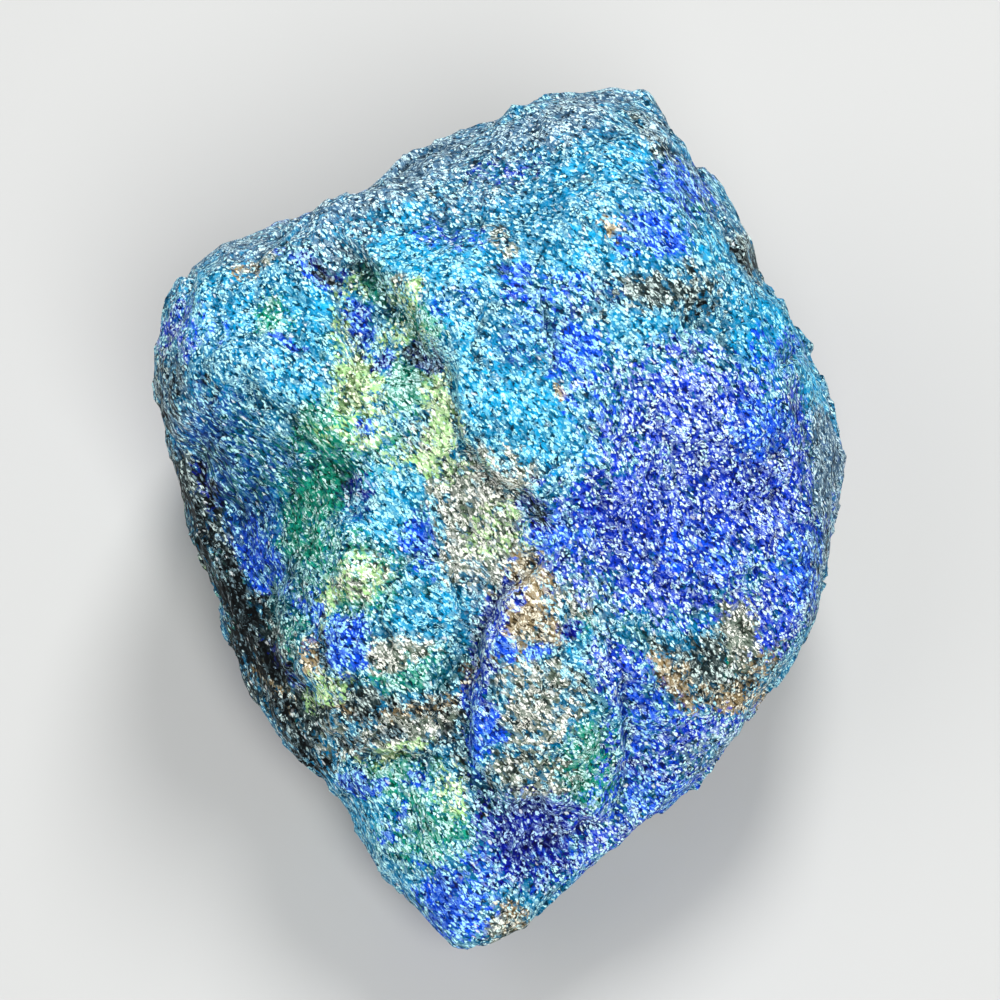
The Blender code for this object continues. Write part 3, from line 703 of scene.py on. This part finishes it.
# how the crystals lie. Scales are per grain size, and pairs say where an effect starts and where it is whole
grainLook = {
    "stretch": 0.46,                # how much they are drawn out along the bedding
    "noise": (0.8, 2.0, 0.7, 0.6),  # scale, detail, roughness and distortion
    "bend": 1.8,
    "cellScale": 1.2,
    "largeScale": 0.75,
    "tone": (0.45, 3.0, 0.65),      # scale per millimetre, detail and roughness of the slow changes
    "toneCover": 0.9,
    "chance": (-0.6, 0.82),         # a cell is lit from a shade of the cover times this, plus this
    "chanceFade": 0.22,
    "cellEdge": (0.63, 0.41),
    "cellShades": (0.3, 0.8),       # how much lit cells differ, and the least of them
    "strands": (0.045, 0.012),
    "veil": (0.52, 0.74),
    "veilCover": (0.5, 0.12),       # its share that goes with the cover, and its share everywhere
    "pits": (0.52, 0.34),
    "glintEdge": (0.45, 0.25),
    "glintChance": (0.92, 0.98),
}


def sugaryGrain():
    # light crystals, their own pale colour with painted sparkle in it: small bent cells drawn out along the
    # bedding, each lit or left dark by chance, with thin strands where the noise crosses its middle, a veil where
    # it is high, pits where it is low, and larger painted glints
    group, given, made = newGroup(
        "sugary grain",
        [("Position", "Vector", None), ("Size", "Float", 0.5), ("Cover", "Float", 0.4)],
        [("Crystals", "Float"), ("Glints", "Float"), ("Tone", "Float"), ("Scatter", "Float"),
         ("Fine Scatter", "Float"), ("Pits", "Float"), ("Height", "Float")])
    look = grainLook
    lengthwise = bedding.tolist()
    along = vectorNode(group, "DOT_PRODUCT", {0: given["Position"], 1: lengthwise})["Value"]
    short = vectorNode(group, "SCALE", {0: lengthwise, "Scale": multiply(group, along, look["stretch"])})[0]
    place = vectorNode(group, "SUBTRACT", {0: given["Position"], 1: short})[0]
    scale = mathNode(group, "DIVIDE", 1.0, given["Size"])
    noise = noiseNode(group, place, multiply(group, scale, look["noise"][0]), *look["noise"][1:])
    reach = multiply(group, given["Size"], look["bend"])
    bend = vectorNode(group, "SCALE", {0: noise["Color"], "Scale": reach})[0]
    bent = vectorNode(group, "ADD", {0: place, 1: bend})[0]
    scales = [multiply(group, scale, look[key]) for key in ("cellScale", "largeScale")]
    cells, large = [
        addNode(group, "ShaderNodeTexVoronoi", {"Vector": bent, "Scale": value}).outputs for value in scales]
    shades, largeShades = [
        addNode(group, "ShaderNodeSeparateColor", {0: kind["Color"]}).outputs for kind in (cells, large)]
    tone = noiseNode(group, given["Position"], *look["tone"])["Fac"]
    cover = mathNode(group, "SUBTRACT", given["Cover"], look["toneCover"] / 2)
    cover = multiplyAdd(group, tone, look["toneCover"], cover)
    start = multiplyAdd(group, cover, *look["chance"])
    lit = smoothStep(group, shades[0], start, mathNode(group, "ADD", start, look["chanceFade"]))
    lit = multiply(group, lit, smoothStep(group, cells["Distance"], *look["cellEdge"]))
    lit = multiply(group, lit, multiplyAdd(group, shades[2], *look["cellShades"]))
    level = mathNode(group, "ABSOLUTE", mathNode(group, "SUBTRACT", noise["Fac"], 0.5))
    strands = smoothStep(group, level, *look["strands"])
    strands = multiply(group, strands, smoothStep(group, largeShades[2], start, 1.0))
    veil = smoothStep(group, noise["Fac"], *look["veil"])
    veil = multiply(group, veil, multiplyAdd(group, given["Cover"], *look["veilCover"]))
    glints = smoothStep(group, large["Distance"], *look["glintEdge"])
    glints = multiply(group, glints, smoothStep(group, largeShades[0], *look["glintChance"]))
    found = {
        "Crystals": mathNode(group, "MAXIMUM", mathNode(group, "MAXIMUM", lit, strands), veil),
        "Glints": glints,
        "Tone": tone,
        "Scatter": mathNode(group, "SUBTRACT", largeShades[1], 0.5),
        "Fine Scatter": mathNode(group, "SUBTRACT", shades[1], 0.5),
        "Pits": smoothStep(group, noise["Fac"], *look["pits"]),
        "Height": noise["Fac"],
    }
    for key, value in found.items():
        group.links.new(value, made[key])
    return group


def mineralLayer():
    # one mineral laid over those before it, where its mask is, with an edge that noise and scatter break up
    group, given, made = newGroup(
        "mineral layer",
        [("Ground", "Color", None), ("Crystal", "Color", None), ("Mask", "Float", 0.0), ("Break", "Float", 0.5),
         ("Scatter", "Float", 0.0), ("Raggedness", "Float", 1.3), ("Scattering", "Float", 1.05),
         ("Mineral Ground", "Color", None), ("Mineral Crystal", "Color", None)],
        [("Ground", "Color"), ("Crystal", "Color")])
    wholeEdge, nearMask = (0.2, 0.7), (0.0, 0.15)
    broken = mathNode(group, "SUBTRACT", given["Break"], 0.5)
    broken = multiplyAdd(group, broken, given["Raggedness"], given["Mask"])
    broken = multiplyAdd(group, given["Scatter"], given["Scattering"], broken)
    share = smoothStep(group, broken, *wholeEdge)
    share = multiply(group, share, smoothStep(group, given["Mask"], *nearMask))
    for key in ("Ground", "Crystal"):
        group.links.new(mixColour(group, share, given[key], given["Mineral " + key]), made[key])
    return group


# the colours of each mineral's ground and crystals as the screen shows them, in the order they are laid
stoneLook = {
    "base": ((0, 120, 168), (198, 252, 254)),
    "minerals": {
        "cyan": ((0, 148, 200), (182, 252, 255)),
        "deep": ((0, 72, 160), (168, 232, 255)),
        "teal": ((2, 88, 100), (190, 242, 240)),
        "green": ((4, 150, 120), (216, 255, 248)),
        "rock": ((36, 54, 56), (216, 236, 230)),
        "tan": ((146, 126, 88), (255, 248, 224)),
        "cream": ((92, 108, 94), (255, 255, 244)),
        "lime": ((166, 220, 140), (250, 255, 222)),
        "violet": ((2, 50, 192), (224, 252, 255)),
        "haze": ((60, 100, 132), (220, 250, 255)),
        "royal": ((0, 66, 206), (168, 232, 255)),
        "navy": ((0, 16, 150), (186, 224, 255)),
        # near-black ground: painted shade in the front's crevices and under its left rim, dark stone in the clouds
        # behind
        "darkStoneAndPaintedShade": ((3, 7, 9), (120, 146, 154)),
    },
    "grainSize": 0.235,
    "crystalCover": 0.31,
    "denseCover": 0.4,                 # how much more where they are dense
    "sparseCover": 0.34,               # how much less where they are sparse
    "toneShade": 1.7,
    "scatterShade": 0.5,
    "pitShade": (0.9, 1.05),           # how much darker pits are, and how light the rest is
    # painted shade: how much darker the colour is made where the relief is sunk
    "recessPaintedShade": 0.1,
    # painted shade in hollows, where the surface lies under its smoothed self
    "hollowPaintedShade": (0.02, 0.22, 0.6),  # from and to how deep a hollow, in millimetres, and how much darker
    "ridgeWear": (0.05, -0.18, 0.25),  # the same for ridges, and how much denser their crystals
    # painted glints: white specks mixed into the colour for light glinting off crystals, and their share
    "glint": ((244, 250, 250), 0.7),
    "edgeNoise": (0.55, 4.0, 0.74),    # scale, detail and roughness
    "edgeNoises": 5,                   # minerals that seldom meet share one
    "edgeShift": (7.3, -4.1, 5.7),     # from one to the next
    "roughness": (0.62, -0.2),         # of the ground, and how it changes on crystals
    "specular": 0.08,
    "bump": 0.6,
    "bumpDepth": 0.00014,
}


def stoneMaterial():
    look = stoneLook
    material = bpy.data.materials.new("malachite_azurite")
    material.use_nodes = True
    tree = material.node_tree
    shader = tree.nodes["Principled BSDF"]
    objectPlace = addNode(tree, "ShaderNodeTexCoord").outputs["Object"]
    place = addNode(tree, "ShaderNodeMapping", {"Vector": objectPlace, "Scale": (1000, 1000, 1000)}).outputs[0]
    masks = {name: addNode(tree, "ShaderNodeAttribute", attribute_name=name).outputs["Fac"]
             for name in (*look["minerals"], "sparse", "dense", "recess", "hollow")}
    wornFrom, wornTo, wornCover = look["ridgeWear"]
    cover = multiplyAdd(tree, masks["sparse"], -look["sparseCover"], look["crystalCover"])
    cover = multiplyAdd(tree, masks["dense"], look["denseCover"], cover)
    cover = multiplyAdd(tree, smoothStep(tree, masks["hollow"], wornFrom, wornTo), wornCover, cover)
    grain = addNode(tree, "ShaderNodeGroup", {"Position": place, "Size": look["grainSize"], "Cover": cover},
                    node_tree=sugaryGrain()).outputs
    layer = mineralLayer()
    ragged = []
    for k in range(look["edgeNoises"]):
        offset = tuple(k * away for away in look["edgeShift"])
        edge = addNode(tree, "ShaderNodeMapping", {"Vector": place, "Location": offset}).outputs[0]
        ragged.append(noiseNode(tree, edge, *look["edgeNoise"])["Fac"])
    ground, crystal = (srgb(*colour) for colour in look["base"])
    for k, (name, (groundColour, crystalColour)) in enumerate(look["minerals"].items()):
        ground, crystal = addNode(tree, "ShaderNodeGroup", {
            "Ground": ground, "Crystal": crystal, "Mask": masks[name], "Break": ragged[k % len(ragged)],
            "Scatter": grain["Fine Scatter" if k % 2 else "Scatter"],
            "Mineral Ground": srgb(*groundColour), "Mineral Crystal": srgb(*crystalColour),
        }, node_tree=layer).outputs
    shade = multiply(tree, grain["Tone"], look["toneShade"])
    shade = multiplyAdd(tree, grain["Scatter"], look["scatterShade"], shade)
    darkFrom, darkTo, darker = look["hollowPaintedShade"]
    pitDarker, plainShade = look["pitShade"]
    # painted shade: recesses and hollows are darkened in the colour itself; pits are the grain's own dark specks
    for share, change, rest in ((masks["recess"], -look["recessPaintedShade"], 1.0),
                                (smoothStep(tree, masks["hollow"], darkFrom, darkTo), -darker, 1.0),
                                (grain["Pits"], -pitDarker, plainShade)):
        shade = multiply(tree, shade, multiplyAdd(tree, share, change, rest))
    shaded = vectorNode(tree, "SCALE", {0: ground, "Scale": shade})[0]
    # the pale crystals: their own pale colour, with painted sparkle mixed in as colour
    speckled = mixColour(tree, grain["Crystals"], shaded, crystal)
    # painted highlights: the larger cells' glints are mixed into the base colour
    glintColour, glintShare = look["glint"]
    glinting = mixColour(tree, multiply(tree, grain["Glints"], glintShare), speckled, srgb(*glintColour))
    tree.links.new(glinting, shader.inputs["Base Color"])
    plainRough, crystalRough = look["roughness"]
    rough = multiplyAdd(tree, grain["Crystals"], crystalRough, plainRough)
    tree.links.new(rough, shader.inputs["Roughness"])
    bump = addNode(tree, "ShaderNodeBump", {"Height": grain["Height"], "Strength": look["bump"],
                                            "Distance": look["bumpDepth"]})
    tree.links.new(bump.outputs[0], shader.inputs["Normal"])
    shader.inputs["Specular IOR Level"].default_value = look["specular"]
    return material


stone.data.materials.append(stoneMaterial())
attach(stone, "root")
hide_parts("stone")
print("stone finished")


# floor, light and camera

studio = {
    "floor": (184, 184, 182),
    "floorReach": 6.0,                       # half its side, in metres
    "key": ((0.10, 0.42, 0.52), 0.24, 3.6),  # place, size and power
    "fill": ((-0.50, -0.10, 0.50), 0.6, 1.4),
    "front": ((0.15, -0.55, 0.70), 0.5, 7.7),
    "sky": ((0.80, 0.85, 0.92, 1.0), 0.24),
    "floorRoughness": 0.75,
    "lens": 135.0,
    "frameShift": 0.020,                     # keeps the stone in the picture's middle
}


def addLamp(name, place, size, power, target):
    # a round lamp that points at the target
    lamp = bpy.data.objects.new(name, bpy.data.lights.new(name, "AREA"))
    scene.collection.objects.link(lamp)
    lamp.data.shape = "DISK"
    lamp.data.size = size
    lamp.data.energy = power
    away = np.array(place) - target
    heading, rising = math.atan2(away[0], -away[1]), math.atan2(away[2], math.hypot(away[0], away[1]))
    lamp.location = place
    lamp.rotation_euler = (math.pi / 2 - rising, 0, heading)


target = (middle + shift) * mm
corners = studio["floorReach"] * np.array([(-1, -1, 0), (1, -1, 0), (1, 1, 0), (-1, 1, 0)])
floor = meshFrom("floor", corners, np.array([(0, 1, 2, 3)]))
floorPaint = bpy.data.materials.new("pale_floor")
floorPaint.use_nodes = True
floorShader = floorPaint.node_tree.nodes["Principled BSDF"].inputs
floorShader["Base Color"].default_value = srgb(*studio["floor"])
floorShader["Roughness"].default_value = studio["floorRoughness"]
floor.data.materials.append(floorPaint)

for lampName in ("key", "fill", "front"):
    addLamp(lampName, *studio[lampName], target)
world = bpy.data.worlds.new("studio")
world.use_nodes = True
sky = world.node_tree.nodes["Background"].inputs
sky["Color"].default_value, sky["Strength"].default_value = studio["sky"]
scene.world = world
scene.view_settings.view_transform = "Standard"

camera = bpy.data.objects.new("camera", bpy.data.cameras.new("camera"))
scene.collection.objects.link(camera)
camera.data.lens = studio["lens"]
camera.data.sensor_width = 36
camera.data.clip_start = 0.01
camera.data.shift_y = studio["frameShift"]
camera.location = target + outward * stoneForm["eye"] * mm
camera.rotation_euler = (math.pi / 2 - pitch, 0, 0)
scene.camera = camera
print("studio ready")
